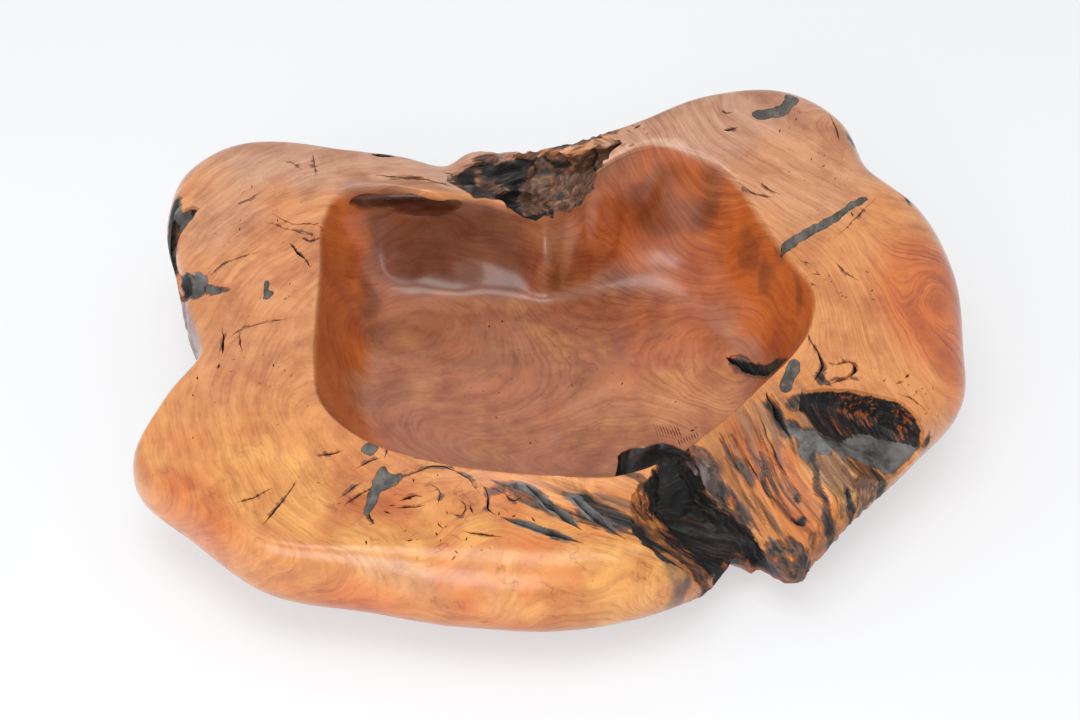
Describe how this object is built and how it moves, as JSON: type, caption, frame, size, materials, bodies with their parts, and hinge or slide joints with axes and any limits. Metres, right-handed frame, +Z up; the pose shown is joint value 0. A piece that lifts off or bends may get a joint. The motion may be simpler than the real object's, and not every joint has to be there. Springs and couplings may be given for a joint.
{
  "type": "carved root bowl",
  "caption": "Free-form open bowl carved from one burr root, with a natural edge, a dished hollow and open voids, on a flat sawn base.",
  "frame": {"origin": "centre of the flat base, below the middle of the hollow", "axes": "+X to the right along the bowl's length, +Y towards its high back edge, +Z up out of the hollow"},
  "size_m": [0.6107, 0.468, 0.1517],
  "materials": {
    "lacquered_wood": "clear gloss lacquer over burr root",
    "grey_filler": "hard resin filler, sanded flush and lacquered"
  },
  "bodies": {
    "root": {"bowl_body": "lacquered_wood", "fill_back_lobe": "grey_filler", "fill_right_check": "grey_filler", "fill_front_star": "grey_filler", "fill_front_blob": "grey_filler", "fill_left_square": "grey_filler", "fill_left_wedge": "grey_filler", "fill_right_rim": "grey_filler"}
  },
  "joints": []
}
